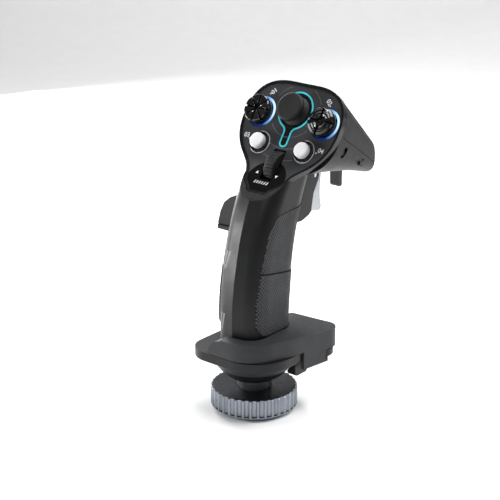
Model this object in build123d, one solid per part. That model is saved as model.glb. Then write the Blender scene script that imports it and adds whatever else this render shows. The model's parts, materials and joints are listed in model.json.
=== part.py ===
from build123d import *
from math import atan2, cos, degrees, radians, sin, sqrt, tan
import os

# Flight joystick grip, in millimetres. +Z is up, the pilot sits towards -Y, +X is the pilot's right.
# The origin is on the locking ring's axis, at the level of its bottom face.

# ---------------------------------------------------------------- driving dimensions
total_height = 200.0
head_width = 75.0
nose_y = 86.0                # foremost point of the head

part_gap = 0.15              # between two fixed mouldings
slide_gap = 0.3              # between a moving piece and what it passes
pin_fit = 0.05               # radial clearance of a pin in its bore

# locking ring and neck
ring_radius = 27.5
ring_height = 13.9
ring_flutes = 36
flute_radius = 1.9
flute_depth = 1.25
ring_chamfer = 2.6
thread_radius = 16.92        # minor radius of the M36 x 2 collar thread
thread_length = 9.0
ring_relief_radius = 17.4
ring_lip_z = 11.3            # underside of the ring's top web
ring_dish = 0.4
neck_radius = 10.7
neck_bore = 8.0
ring_hole_radius = neck_radius + 0.6
foot_radius = 16.5
foot_z = 9.4
foot_thickness = 1.6
plug_well_radius = 6.0
plug_well_depth = 8.5
pin_contact_radius = 0.6
pin_contact_circle = 3.3
pin_contact_count = 5
pin_contact_z = 14.0

# base flange and cup
flange_z = 34.0
flange_thickness = 6.4
flange_half_width = 32.0
flange_right = 30.5
flange_rear = -28.8
flange_front = 24.4
cup_wall = 2.0
cup_profile = [(19.4, 11.9), (21.2, 15.8), (24.6, 20.2), (29.0, 23.9)]   # height, outer radius
cup_top_radius = 26.0
spigot_top = 45.0            # the flange's spigot reaches into the handle up to here
spigot_gap = 0.45
neck_plate_radius = 18.0
neck_plate_thickness = 4.0
base_screw_radius = 1.5
base_screw_circle = 13.5
base_screw_head = 2.6

# handle: height, rear ridge, front edge, half width of each level section
handle_sections = [
    (40.55, -21.6, 20.8, 17.0),
    (62.0, -21.3, 21.2, 17.0),
    (82.0, -20.0, 22.8, 17.0),
    (101.0, -16.6, 25.4, 16.9),
    (120.0, -11.6, 29.8, 16.9),
    (140.0, -3.2, 36.8, 17.1),
    (160.0, 8.0, 46.0, 17.3),
]
handle_ridge = 3.0           # height of the blunt ridge along the rear
handle_ridge_radius = 1.6
handle_rear_corner = 12.0
handle_front_corner = 14.0
handle_wall = 2.4

# rubber pads on both sides of the handle
pad_proud_upper = 0.45
pad_proud_lower = 0.9
pad_recess = 1.0
pad_rear = [(-11.5, 54.5), (-16.2, 60.0), (-15.6, 76.0), (-11.6, 96.0), (-4.6, 119.5), (2.5, 129.0)]
pad_front = (60.0, 132.5)
pad_split_z = 93.0
pad_split_slope = -9.0       # degrees, falling towards the front
pad_split_gap = 0.9
pad_corner = 5.0
pad_seat_gap = 0.12
pad_inner_x = 11.2           # the pads wrap round the corners of the handle to here

# face of the head
face_tilt = 34.0             # lean of the face from upright
face_y = 39.85
face_z = 184.75
bezel_proud = 0.3
bezel_width = 1.7
bezel_depth = 3.8
ledge_width = 1.9
panel_drop = 0.2             # panel surface below the bend line's level
panel_thickness = 2.0
lobe_bend = 18.0             # the lower lobe turns up towards the pilot
lobe_bend_u = -35.0
lobe_bend_radius = 16.0
lip_height = 0.7             # the handle's lip stands this far above the lobe's base surface
face_top = (total_height - face_z - bezel_proud * sin(radians(face_tilt))) / cos(radians(face_tilt))
face_half_points = [         # right half of the face outline, from the top down: across, along
    (19.0, face_top - 0.8),
    (28.5, face_top - 4.8),
    (34.9, face_top - 12.6),
    (head_width / 2, face_top - 26.0),
    (36.3, face_top - 36.5),
    (32.2, face_top - 45.4),
    (25.8, face_top - 52.6),
    (19.8, face_top - 58.4),
    (16.4, face_top - 63.8),
    (14.2, face_top - 68.8),
    (8.8, face_top - 73.8),
]
face_length = 76.4
outline_steps = 48           # points that a moved-in outline is drawn through

# head shells: depth behind the face, top edge, bottom edge, half width,
# radius of the top corners, width and height of the elliptic bottom corners
head_sections = [
    (-(bezel_depth + 0.1), face_top - 1.2, -38.6, head_width / 2 - 0.3, 21.0, 23.0, 23.0),
    (-31.0, 8.2, -24.4, head_width / 2 - 0.9, 13.0, 17.5, 15.5),
    (-66.0, -1.6, -12.4, head_width / 2 - 3.0, 4.9, 17.5, 5.8),
]
head_wall = 2.2
seam_u = -9.0                # upper and lower head shells part here
seam_gap = 0.3
nose_side_y = 73.6           # the nose is an arc in plan, back to here at the sides
screw_slot_seats = [(41.5, 164.0), (60.6, 152.4)]   # Y and Z of the side screws
screw_slot_length = 7.4
screw_slot_width = 3.6
slot_floor_x = 35.2
side_screw_radius = 1.1
side_head_radius = 1.65
tab_half_width = 3.2
tab_root = 3.0
tab_thickness = 2.1

# mini-stick
stick_pivot = -9.0
stick_dome_radius = 12.8
stick_dome_wall = 1.0
stick_dome_reach = 68.0      # degrees from the dome's pole to its rim
stick_cap_radius = 9.3
stick_cap_low = 4.7
stick_cap_top = 8.2
well_line_radius = 12.2      # glowing line round the stick
well_line_half_width = 0.5
tail_half_width = 2.6
tail_end = -24.0
tail_blend = 4.0

# hats
hat_x = 24.9
hat_u = -4.8
hat_pivot = -7.0
hat_radius = 9.1
hat_low = 2.2
hat_top = 7.0
hat_skirt_radius = 7.2
hat_fins = 8
glow_outer = 10.15
glow_inner = 8.65
glow_depth = 3.3

# gimbals under the stick and the hats
shaft_radius = 2.0
gimbal_inner = 3.4
gimbal_outer = 5.2
gimbal_half_height = 1.2
trunnion_radius = 0.9
ear_gap = 0.5
ear_thickness = 1.7
ear_half_width = 2.6

# push buttons
button_x = 17.4
button_u = -24.35
button_radius = 5.0
button_low = -4.6
button_top = 4.8
button_dome = 1.3
button_travel = 1.2
collar_outer = 6.6
collar_top = 1.5

# scroll wheel
wheel_u = -37.0
wheel_h = -4.8
wheel_radius = 10.8
wheel_half_width = 3.8
wheel_ribs = 30
wheel_rib_depth = 0.55
wheel_rib_radius = 0.55
wheel_slot_half_width = 4.6
axle_radius = 1.2
axle_half_length = 7.6
bracket_gap = 0.6
bracket_thickness = 1.8
scroll_bezel_radius = 14.3
scroll_bezel_u = -48.6

# trigger and its housing
housing_half_width = 10.8
trigger_half_width = 5.5
trigger_pivot_y = 47.5
trigger_pivot_z = 143.4
trigger_pin_radius = 1.5
trigger_hub_radius = 3.2
spring_half_width = 1.9
spring_wire = 0.35
spring_turns = 4

# front lever
lever_y = 82.9               # middle of the blade
lever_pivot_y = 80.6
lever_hub_radius = 2.2
lever_pivot_z = 145.0
lever_low_z = 126.0
lever_half_width = 3.5
lever_half_depth = 2.05
lever_pin_radius = 1.0
lever_slot_front = 90.0
lever_slot_top = 142.9

# hand rest
rest_handle_gap = 1.7
rest_wall = 2.6
rest_rim_z = 51.4            # top surface at the outer edge
rest_crown_z = 54.2          # top surface beside the handle
rest_skirt_z = 29.0
rest_skirt_y = 10.4
rest_roof_z = 48.0
rest_left = -13.5
rest_end_radius = 10.5
rest_rear = -29.0
rest_front = 45.2
rest_right = 36.9
guide_x = (21.0, 27.4)
guide_y = (7.5, 19.5)
guide_low_z = 24.0
wheel_seat = (26.5, 33.5)
clamp_wheel_radius = 8.6
clamp_wheel_z = (31.5, 36.5)
clamp_stem_radius = 2.5
clamp_stem_top = 44.0
clamp_boss_wall = 2.4
corner_relief = 46.8         # distance of the relief plane from the axis, square to the corner
corner_relief_angle = 39.9

# thumb rest, on the left side of the handle
thumb_y = (2.0, 12.5)
thumb_reach = -31.2
thumb_low_z = 111.6
thumb_lip_z = 115.4
thumb_lip = 1.2
thumb_root = -13.0
thumb_screw_place = (7.2, 121.0)
thumb_screw_radius = 1.5
thumb_screw_end = -14.9

# inside
board_h = -21.6
board_thickness = 1.6
loom_radius = 2.2
loom_bend = 12.0
loom_points = [              # the wires leave the socket, pass the screw posts and reach the board
    (0, 0, 22), (0, 0, 32), (0, -6.5, 50), (-3, -6.5, 74), (-8.2, -3, 106),
    (-8.8, 10, 133), (-8.8, 28, 145), (-8.8, 42.2, 154.2),
]
shell_screw_places = [(2.0, 49.5), (4.0, 72.0), (9.0, 106.0), (19.5, 130.0)]
shell_screw_radius = 1.25
shell_boss_radius = 3.3
shell_screw_end = 11.2
shell_head_x = 13.4          # seat of the handle screws' heads
shell_head_radius = 2.3
wheel_pocket = 11.6          # half width of the opening under the lobe
screw_fit = 0.02
span = 120.0                 # longer than anything it cuts

face = Plane(
    origin=(0, face_y, face_z),
    x_dir=(1, 0, 0),
    z_dir=(0, -cos(radians(face_tilt)), sin(radians(face_tilt))),
)
side = Plane(origin=(0, 0, 0), x_dir=(0, 1, 0), z_dir=(1, 0, 0))
face_side = Plane(
    origin=(0, face_y, face_z),
    x_dir=(0, sin(radians(face_tilt)), cos(radians(face_tilt))),
    z_dir=(1, 0, 0),
)


# ---------------------------------------------------------------- helpers
def post(plane, x, y, low, high, radius):
    """Cylinder square to a plane, between two heights above it."""
    return extrude(plane.offset(low) * Pos(x, y) * Circle(radius), amount=high - low)


def tube(plane, x, y, low, high, outer, inner):
    """Hollow cylinder square to a plane."""
    return post(plane, x, y, low, high, outer) - post(plane, x, y, low - 1, high + 1, inner)


def block(plane, xs, ys, zs):
    """Box given by its limits along the plane's own axes."""
    width, depth, height = xs[1] - xs[0], ys[1] - ys[0], zs[1] - zs[0]
    centre = Pos((xs[0] + xs[1]) / 2, (ys[0] + ys[1]) / 2)
    return extrude(plane.offset(zs[0]) * centre * Rectangle(width, depth), amount=height)


def slab(sketch, plane, low, high):
    """Sketch drawn on a plane, made solid between two heights above it."""
    return extrude(plane.offset(low) * sketch, amount=high - low)


def level_pin(y, z, x_low, x_high, radius):
    """Cylinder along X through a point of the side view."""
    return extrude(side.offset(x_low) * Pos(y, z) * Circle(radius), amount=x_high - x_low)


def side_prism(points, half_width):
    """Closed polygon of the side view, made solid to both sides of the centre."""
    return extrude(side * make_face(Polyline(*points, close=True)), amount=half_width, both=True)


def solids_of(shape):
    return [solid for solid in shape.solids() if solid.volume > 0.05]


def save(shape, name):
    """Write one node: a single solid, or a group of separate solids."""
    found = solids_of(shape)
    export_step(found[0] if len(found) == 1 else Compound(children=found), "parts/" + name + ".step")


# ---------------------------------------------------------------- face surfaces
def face_curve(height):
    """Section of the face at the centre line, a height above its surface, from the top down."""
    bend = radians(lobe_bend)
    corner = Vector(lobe_bend_u + height * tan(bend / 2), height)
    low_end = corner + Vector(-cos(bend), sin(bend)) * span
    return FilletPolyline((span, height), corner, low_end, radius=lobe_bend_radius - height)


def face_band(low, high):
    """Layer that follows the bent face, between two heights above its surface."""
    bottom = face_curve(low)
    top = face_curve(high)
    ends = [Line(bottom @ 0, top @ 0), Line(bottom @ 1, top @ 1)]
    section = make_face([*bottom.edges(), *top.edges(), *ends])
    return extrude(face_side * section, amount=head_width, both=True)


def face_outline(inset=0.0):
    """Outline of the face, drawn on the face plane, moved in by a distance."""
    half = [(0, face_top), *face_half_points, (0, face_top - face_length)]
    right = Spline(*half, tangents=[(1, 0), (-1, 0)])
    if inset:
        points = [inset_point(right, step / outline_steps, inset) for step in range(outline_steps + 1)]
        right = Spline(*points, tangents=[(1, 0), (-1, 0)])
    return make_face([right, mirror(right, about=Plane.YZ)])


def inset_point(curve, at, inset):
    """Point beside a curve that runs clockwise, moved in by a distance."""
    along = curve % at
    point = curve @ at
    return (point.X + inset * along.Y, point.Y - inset * along.X)


def face_layer(inset, low, high):
    """Part of a bent layer that lies inside the outline."""
    return face_band(low, high) & slab(face_outline(inset), face, -span / 2, span / 2)


def keyhole(grow=0.0):
    """Area inside the glowing line: a disc with a narrow tail towards the pilot."""
    tail_length = -tail_end - tail_half_width
    tail = Pos(0, -tail_length / 2) * Rectangle(2 * tail_half_width, tail_length)
    tip = Pos(0, -tail_length) * Circle(tail_half_width)
    area = Circle(well_line_radius) + tail + tip
    inner = [v for v in area.vertices() if -well_line_radius < v.Y < -well_line_radius / 2]
    area = fillet(inner, tail_blend)
    return offset(area, grow) if grow else area


# ---------------------------------------------------------------- head and handle bodies
def head_section(top, bottom, half_width, top_radius, low_width, low_height, inset):
    """Section of the head across the face's normal: round above, elliptic corners below."""
    side_x = half_width - inset
    high, low = top - inset, bottom + inset
    radius = top_radius - inset
    wide, tall = low_width - inset, low_height - inset
    right = [
        Line((0, high), (side_x - radius, high)),
        CenterArc((side_x - radius, high - radius), radius, 90, -90),
        Line((side_x, high - radius), (side_x, low + tall)),
        EllipticalCenterArc((side_x - wide, low + tall), wide, tall, 270, arc_size=90),
        Line((side_x - wide, low), (0, low)),
    ]
    left = [mirror(edge, about=Plane.YZ) for edge in right]
    return make_face([*right, *left])


def head_body(inset):
    """Closed outer form of the head, moved in by a distance."""
    sections = []
    for depth, *edges in head_sections:
        sections.append(face.offset(depth) * head_section(*edges, inset))
    body = loft(sections)
    half = head_width / 2 + 1 - inset
    tip = nose_y - inset
    bow = ThreePointArc((half, nose_side_y - inset), (0, tip), (-half, nose_side_y - inset))
    back = Polyline((-half, nose_side_y - inset), (-half, -span), (half, -span), (half, nose_side_y - inset))
    plan = make_face([bow, *back.edges()])
    return body & extrude(plan, amount=2 * span)


def handle_body(inset):
    """Closed outer form of the handle, moved in by a distance."""
    sections = []
    for height, rear, front, half_width in handle_sections:
        sections.append(Plane.XY.offset(height) * handle_section(rear, front, half_width, inset))
    return loft(sections)


def handle_section(rear, front, half_width, inset):
    """Level section of the handle: a rounded box with a blunt ridge at the rear."""
    side_x = half_width - inset
    shoulder = rear + handle_ridge + inset
    points = [(0, rear + inset), (side_x, shoulder), (side_x, front - inset),
              (-side_x, front - inset), (-side_x, shoulder)]
    rear_round, front_round = handle_rear_corner - inset, handle_front_corner - inset
    rounds = [handle_ridge_radius, rear_round, front_round, front_round, rear_round]
    return make_face(FilletPolyline(*points, radius=rounds, close=True))


def above_face(height):
    """Everything above a level of the bent face."""
    return face_band(height, lobe_bend_radius - 1)


def trim_handle(body, gap):
    """Handle form cut to a lip round the lobe, with a seat for the lobe, and against the head."""
    seat = face_layer(-gap, -(bezel_depth + gap), lobe_bend_radius - 1)
    return body - above_face(lip_height) - seat - head_body(-gap)


def pad_sketch(grow=0.0):
    """Outline of the pads in the side view, both halves together."""
    foot = (pad_front[0], pad_rear[0][1])
    area = make_face(Polyline(*pad_rear, pad_front, foot, close=True))
    area = fillet([corner for corner in area.vertices() if corner.X < 30], pad_corner)
    return offset(area, grow) if grow else area


def split_area(upper):
    """Half plane above or below the line that parts the two pads."""
    shift = pad_split_gap / 2 + span
    turn = Pos(0, pad_split_z) * Rot(0, 0, pad_split_slope)
    return turn * Pos(0, shift if upper else -shift) * Rectangle(4 * span, 2 * span)


def pad_zone():
    """Space on both flanks that the pads take up, clear of the front and the rear of the handle."""
    zone = extrude(side.offset(pad_inner_x) * pad_sketch(pad_seat_gap), amount=span)
    return zone + mirror(zone, about=Plane.YZ)


# ---------------------------------------------------------------- base
def locking_ring():
    top = ring_height
    lip = Polyline(
        (ring_hole_radius, ring_lip_z),
        (ring_relief_radius, ring_lip_z),
        (ring_relief_radius, thread_length),
        (thread_radius, thread_length),
        (thread_radius, 0),
        (ring_radius - ring_chamfer, 0),
        (ring_radius, ring_chamfer * 0.8),
        (ring_radius, top - 0.5),
        (ring_radius - 0.5, top),
        (ring_radius - 2.2, top),
        (ring_hole_radius, top - ring_dish),
        close=True,
    )
    ring = revolve(Plane.XZ * make_face(lip), axis=Axis.Z)
    seat = ring_radius + flute_radius - flute_depth
    flute = extrude(Plane.XY.offset(ring_chamfer) * Circle(flute_radius), amount=ring_height)
    return ring - PolarLocations(seat, ring_flutes) * flute


def neck_stem():
    plate_low = flange_z - neck_plate_thickness - part_gap
    stem = post(Plane.XY, 0, 0, foot_z + foot_thickness, flange_z - part_gap, neck_radius)
    stem += post(Plane.XY, 0, 0, plate_low, flange_z - part_gap, neck_plate_radius)
    return stem - post(Plane.XY, 0, 0, 0, span, neck_bore)


def stem_foot():
    """Disc that the ring pulls down, with the socket for the base's plug."""
    socket_top = foot_z + plug_well_depth + 1.5
    foot = post(Plane.XY, 0, 0, foot_z, foot_z + foot_thickness, foot_radius)
    foot += post(Plane.XY, 0, 0, foot_z, socket_top, neck_bore - part_gap)
    foot -= post(Plane.XY, 0, 0, foot_z - 1, foot_z + plug_well_depth, plug_well_radius)
    return foot - contacts(pin_contact_radius)


def contacts(radius):
    """Contact pins of the socket, held in the foot's floor."""
    high = foot_z + plug_well_depth + 3.0
    pins = post(Plane.XY, 0, 0, pin_contact_z, high, radius)
    for place in PolarLocations(pin_contact_circle, pin_contact_count - 1):
        pins += place * extrude(Plane.XY.offset(pin_contact_z) * Circle(radius), amount=high - pin_contact_z)
    return pins


def cup_form(grow):
    """Solid bowl the cup fills, made larger by a gap."""
    outer = [(radius + grow, height - grow / 2) for height, radius in cup_profile]
    top = [(cup_top_radius + grow, flange_z), (0, flange_z), (0, outer[0][1])]
    return revolve(Plane.XZ * make_face(Polyline(*outer, *top, close=True)), axis=Axis.Z)


def neck_cup():
    top_z = flange_z - part_gap
    outer = [(radius, height) for height, radius in cup_profile] + [(cup_top_radius, top_z)]
    inner = [(radius - cup_wall, height + cup_wall * 0.6) for radius, height in outer[1:-1]]
    hole = neck_radius + part_gap
    points = [
        (hole, outer[0][1]),
        *outer,
        (cup_top_radius - cup_wall, top_z),
        *reversed(inner),
        (hole, outer[0][1] + cup_wall),
    ]
    return revolve(Plane.XZ * make_face(Polyline(*points, close=True)), axis=Axis.Z)


def flange_outline():
    step = rest_skirt_y - 1.0
    inner = guide_x[1] - 0.4
    points = [
        (-flange_half_width, flange_rear),
        (flange_right, flange_rear),
        (flange_right, step),
        (inner, step),
        (inner, flange_front),
        (-flange_half_width, flange_front),
    ]
    return make_face(FilletPolyline(*points, radius=[14, 26, 1, 0.6, 5, 19], close=True))


def base_flange():
    flange = slab(flange_outline(), Plane.XY, flange_z, flange_z + flange_thickness)
    spigot = slab(handle_hole(-(handle_wall + spigot_gap)), Plane.XY, flange_z + 1, spigot_top)
    flange = fillet(flange.edges().filter_by_position(Axis.Z, flange_z - 0.1, flange_z + 0.1), 1.2)
    flange += spigot
    flange -= post(Plane.XY, 0, 0, 0, span, neck_bore)
    for place in base_screw_places():
        flange -= place * extrude(Circle(base_screw_radius + 0.02), amount=span)
    return flange


def base_screw_places():
    return PolarLocations(base_screw_circle, 4, start_angle=45)


def base_screws():
    """Screws up through the neck's plate into the flange."""
    low = flange_z - neck_plate_thickness - part_gap
    screw = post(Plane.XY, 0, 0, low, flange_z + 7.5, base_screw_radius)
    screw += post(Plane.XY, 0, 0, low - 1.8, low, base_screw_head)
    return Compound(children=[place * screw for place in base_screw_places()])


def drill_neck(stem):
    for place in base_screw_places():
        stem -= place * extrude(Circle(base_screw_radius + 0.02), amount=span)
    return stem


# ---------------------------------------------------------------- handle
def shell_bosses():
    """Screw posts that cross the handle's cavity, along X."""
    posts = level_pin(*shell_screw_places[0], -span, span, shell_boss_radius)
    for y, z in shell_screw_places[1:]:
        posts += level_pin(y, z, -span, span, shell_boss_radius)
    return posts


def scroll_pocket():
    """Opening under the lobe for the scroll wheel's bracket and the wires."""
    return block(face, (-wheel_pocket, wheel_pocket), (-49, -24.5), (-24, 10))


def handle_shells():
    outer = trim_handle(handle_body(0), part_gap)
    cavity = handle_body(handle_wall) - above_face(-(bezel_depth + part_gap + handle_wall))
    wall = outer - (cavity - shell_bosses()) - (pad_zone() - handle_body(pad_recess))
    wall -= scroll_pocket()
    for y, z in shell_screw_places:
        wall -= level_pin(y, z, -span, shell_screw_end, shell_screw_radius + screw_fit)
        wall -= level_pin(y, z, -span, -shell_head_x, shell_head_radius + part_gap)
    wall -= level_pin(*thumb_screw_place, -span, thumb_screw_end + 0.2, thumb_screw_radius + screw_fit)
    joint_gap = 0.05
    left = wall & block(Plane.XY, (-span, -joint_gap), (-span, span), (0, 2 * span))
    right = wall & block(Plane.XY, (joint_gap, span), (-span, span), (0, 2 * span))
    return left, right


def handle_screws():
    screws = []
    for y, z in shell_screw_places:
        screw = level_pin(y, z, -shell_head_x, shell_screw_end - 0.2, shell_screw_radius)
        screw += level_pin(y, z, -shell_head_x - 1.6, -shell_head_x, shell_head_radius)
        screws.append(screw)
    return Compound(children=screws)


def grip_pads():
    """Right and left, upper and lower pad."""
    upper = handle_body(-pad_proud_upper) - handle_body(pad_recess - 0.05)
    lower = handle_body(-pad_proud_lower) - handle_body(pad_recess - 0.05)
    inner_x = pad_inner_x + pad_seat_gap
    clear = head_body(-part_gap)
    pads = {}
    for name, sheet, is_upper in (("upper", upper, True), ("lower", lower, False)):
        area = pad_sketch() & split_area(is_upper)
        pad = (sheet & extrude(side.offset(inner_x) * area, amount=span)) - clear
        pads["grip_pad_right_" + name] = pad
        pads["grip_pad_left_" + name] = mirror(pad, about=Plane.YZ) - thumb_space(part_gap)
    return pads


def thumb_rest():
    outline = [
        (thumb_root, 137.0),
        (-21.0, 133.7),
        (-26.0, 129.6),
        (-29.2, 123.0),
        (thumb_reach, thumb_lip_z),
        (thumb_reach + 0.4, thumb_low_z + 0.6),
        (thumb_reach + 2.4, thumb_low_z - 0.3),
        (thumb_root, thumb_low_z),
    ]
    wall = make_face(Polyline(*outline, close=True))
    plate = extrude(Plane.XZ.offset(-thumb_y[1]) * wall, amount=thumb_y[1] - thumb_y[0])
    lip = block(Plane.XY, (thumb_reach + 0.6, thumb_root), (thumb_y[0] - thumb_lip, thumb_y[0]),
                (thumb_low_z, thumb_lip_z - 1.2))
    tongue = handle_body(-part_gap - 0.1) - handle_body(pad_recess - 0.05)
    tongue &= extrude(side.offset(pad_inner_x) * pad_sketch(), amount=span).mirror(Plane.YZ) & thumb_space(0)
    wing = (plate + lip) - handle_body(-part_gap) + tongue
    return wing - level_pin(*thumb_screw_place, -span, 0, thumb_screw_radius + screw_fit)


def thumb_space(grow):
    """Space on the left flank that the thumb rest takes up."""
    return block(Plane.XY, (-span, 0), (thumb_y[0] - thumb_lip - grow, thumb_y[1] + grow),
                 (thumb_low_z - grow, 137.0 + grow))


def thumb_rest_screw():
    return level_pin(*thumb_screw_place, thumb_reach + 1.4, thumb_screw_end, thumb_screw_radius)


# ---------------------------------------------------------------- head
def head_shells():
    shell = head_body(0) - head_body(head_wall)
    mouth = slab(face_outline(bezel_width + ledge_width), face, -(bezel_depth + 4), 0)
    shell -= mouth
    shell -= scroll_pocket()
    shell -= block(Plane.XY, (-lever_half_width - 0.7, lever_half_width + 0.7), (77.4, lever_slot_front),
                   (120, lever_slot_top))
    shell -= block(Plane.XY, (-trigger_half_width - 0.5, trigger_half_width + 0.5), (44, 62), (140, 148.9))
    upper = shell & block(face, (-span, span), (seam_u + seam_gap / 2, span), (-span, span))
    lower = shell & block(face, (-span, span), (-span, seam_u - seam_gap / 2), (-span, span))
    return upper + side_tabs() - side_screw_cuts(), lower + lever_saddle() - side_screw_cuts()


def side_tabs():
    """Tabs of the upper shell behind the lower shell's flanks, which the side screws bite into."""
    hidden = head_body(head_wall + part_gap) - head_body(head_wall + tab_thickness)
    root = head_body(head_wall - 0.2) - head_body(head_wall + tab_thickness)
    tabs = None
    for y, z in screw_slot_seats:
        spot = face.to_local_coords(Vector(0, y, z))
        band = (spot.Z - tab_half_width, spot.Z + tab_half_width)
        flanks = block(face, (-span, span), (spot.Y - tab_half_width, seam_u + tab_root), band)
        roots = block(face, (-span, span), (seam_u + seam_gap / 2, seam_u + tab_root), band)
        pair = (hidden & flanks) + (root & roots)
        pair -= block(face, (-30, 30), (-span, span), (-span, span))
        tabs = pair if tabs is None else tabs + pair
    return tabs


def side_screw_cuts():
    """Slanted slots in the flanks and the screw holes behind them."""
    cuts = None
    slot = SlotOverall(screw_slot_length, screw_slot_width, rotation=52)
    for y, z in screw_slot_seats:
        pocket = extrude(side.offset(slot_floor_x) * Pos(y, z) * slot, amount=span)
        pocket += level_pin(y, z, 20, span, side_screw_radius + screw_fit)
        pocket += pocket.mirror(Plane.YZ)
        cuts = pocket if cuts is None else cuts + pocket
    return cuts


def head_screws():
    screws = []
    for y, z in screw_slot_seats:
        screw = level_pin(y, z, slot_floor_x - 3.4, slot_floor_x, side_screw_radius)
        screw += level_pin(y, z, slot_floor_x, slot_floor_x + 0.7, side_head_radius)
        screws += [screw, mirror(screw, about=Plane.YZ)]
    return Compound(children=screws)


def face_bezel():
    rim = face_layer(0, -bezel_depth, bezel_proud) - face_layer(bezel_width, -bezel_depth - 1, bezel_proud + 1)
    ledge_top = -(panel_drop + panel_thickness + 0.05)
    ledge = face_layer(bezel_width - 0.1, -bezel_depth, ledge_top)
    ledge -= face_layer(bezel_width + ledge_width, -bezel_depth - 1, ledge_top + 1)
    for sign in (-1, 1):
        ledge -= post(face, sign * hat_x, hat_u, -bezel_depth - 1, 0, glow_outer + part_gap)
    return rim + ledge


def scroll_slot(grow=0.0):
    """Slot in the panel, as long as the wheel at the panel's underside."""
    panel_h = -(panel_drop + panel_thickness)
    half_length = sqrt(wheel_radius ** 2 - (panel_h - wheel_h) ** 2) + slide_gap + grow
    slot = Rectangle(2 * (wheel_slot_half_width + grow), 2 * half_length)
    return slab(Pos(0, wheel_u) * slot, face, -span / 4, span / 2)


def scroll_area(grow=0.0):
    return slab(Pos(0, scroll_bezel_u) * Circle(scroll_bezel_radius + grow), face, -span / 4, span / 2)


def face_plate():
    """Layer that the panel, the scroll bezel and the stick surround are cut from."""
    return face_layer(bezel_width + part_gap, -(panel_drop + panel_thickness), -panel_drop)


def face_panel(plate):
    panel = plate - scroll_area(part_gap) - scroll_slot()
    panel -= slab(keyhole(well_line_half_width + 0.1), face, -span / 4, span / 4)
    for sign in (-1, 1):
        panel -= post(face, sign * hat_x, hat_u, -10, 10, glow_outer + part_gap)
        panel -= post(face, sign * button_x, button_u, -10, 10, collar_outer + part_gap)
    return panel


def stick_surround():
    island = slab(keyhole(-well_line_half_width - 0.1), face, -(panel_drop + panel_thickness), -panel_drop)
    return island - face.location * Pos(0, 0, stick_pivot) * Sphere(stick_dome_radius + 0.35)


def face_light_guide():
    low = -(panel_drop + panel_thickness)
    guide = slab(keyhole(well_line_half_width), face, low, -panel_drop + 0.1)
    return guide - slab(keyhole(-well_line_half_width), face, low - 1, 1)


def light_ring(sign):
    high = -panel_drop + 0.1
    return tube(face, sign * hat_x, hat_u, high - glow_depth, high, glow_outer, glow_inner)


# ---------------------------------------------------------------- gimbals
def gimbal_shaft(x, u, pivot, high):
    """Shaft with the cross pin that lies along the face's upright."""
    shaft = post(face, x, u, pivot - 3.2, high, shaft_radius)
    reach = gimbal_outer + 0.4
    pin_plane = Plane(face.from_local_coords(Vector(x, u - reach, pivot)), z_dir=face.y_dir)
    return shaft + extrude(pin_plane * Circle(trunnion_radius), amount=2 * reach)


def gimbal_ring(x, u, pivot):
    """Ring that the shaft tips in, with trunnions along X."""
    ring = tube(face, x, u, pivot - gimbal_half_height, pivot + gimbal_half_height, gimbal_outer, gimbal_inner)
    bore_plane = Plane(face.from_local_coords(Vector(x, u - 20, pivot)), z_dir=face.y_dir)
    ring -= extrude(bore_plane * Circle(trunnion_radius + pin_fit), amount=40)
    spot = face.from_local_coords(Vector(0, u, pivot))
    inner = (gimbal_inner + gimbal_outer) / 2
    outer = gimbal_outer + ear_gap + ear_thickness
    for low, high in ((inner, outer), (-outer, -inner)):
        ring += level_pin(spot.Y, spot.Z, x + low, x + high, trunnion_radius)
    return ring


def gimbal_frame(x, u, pivot, floor, floor_thickness):
    """Floor with two ears that carry the ring's trunnions."""
    near = gimbal_outer + ear_gap
    far = near + ear_thickness
    frame = block(face, (x - far, x + far), (u - 5.5, u + 5.5), (floor, floor + floor_thickness))
    for low, high in ((near, far), (-far, -near)):
        frame += block(face, (x + low, x + high), (u - ear_half_width, u + ear_half_width),
                       (floor, pivot + 2.2))
    spot = face.from_local_coords(Vector(0, u, pivot))
    return frame - level_pin(spot.Y, spot.Z, x - span, x + span, trunnion_radius + pin_fit)


def stick_cap():
    cap = post(face, 0, 0, stick_cap_low, stick_cap_top, stick_cap_radius)
    top_edge = cap.edges().filter_by(GeomType.CIRCLE).sort_by(Axis(face.origin, face.z_dir))[-1]
    cap = fillet(top_edge, 1.3)
    return cap - post(face, 0, 0, 0, stick_cap_top - 1.6, shaft_radius)


def stick_dome():
    centre = face.location * Pos(0, 0, stick_pivot)
    rim = stick_dome_radius * cos(radians(stick_dome_reach))
    dome = centre * Sphere(stick_dome_radius) - centre * Sphere(stick_dome_radius - stick_dome_wall)
    dome &= block(face, (-20, 20), (-20, 20), (stick_pivot + rim, 20))
    return dome - post(face, 0, 0, stick_pivot, 20, shaft_radius)


def hat_cap(sign, finned):
    x = sign * hat_x
    body = post(face, x, hat_u, hat_low, hat_top, hat_radius)
    body += post(face, x, hat_u, -1.0, hat_low + 0.2, hat_skirt_radius)
    top_edge = body.edges().filter_by(GeomType.CIRCLE).sort_by(Axis(face.origin, face.z_dir))[-1]
    body = fillet(top_edge, 1.2)
    count, width = (hat_fins, 1.3) if finned else (4, 1.6)
    for step in range(count):
        turn = face.location * Pos(x, hat_u) * Rot(0, 0, 360 / count * (step + 0.5))
        groove = Pos(6.4, 0, hat_top) * Box(hat_radius - 2, width, 3.2)
        body -= turn * groove
    return body + gimbal_shaft(x, hat_u, hat_pivot, hat_low + 0.5)


def button_cap(sign):
    x = sign * button_x
    cap = post(face, x, button_u, button_low, button_top, button_radius)
    top_edge = cap.edges().filter_by(GeomType.CIRCLE).sort_by(Axis(face.origin, face.z_dir))[-1]
    return fillet(top_edge, button_dome)


def button_collars():
    low = -(panel_drop + panel_thickness) - 2.0
    collars = []
    for sign in (-1, 1):
        collar = tube(face, sign * button_x, button_u, low, collar_top, collar_outer,
                      button_radius + slide_gap)
        collars.append(collar)
    return Compound(children=collars)


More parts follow.
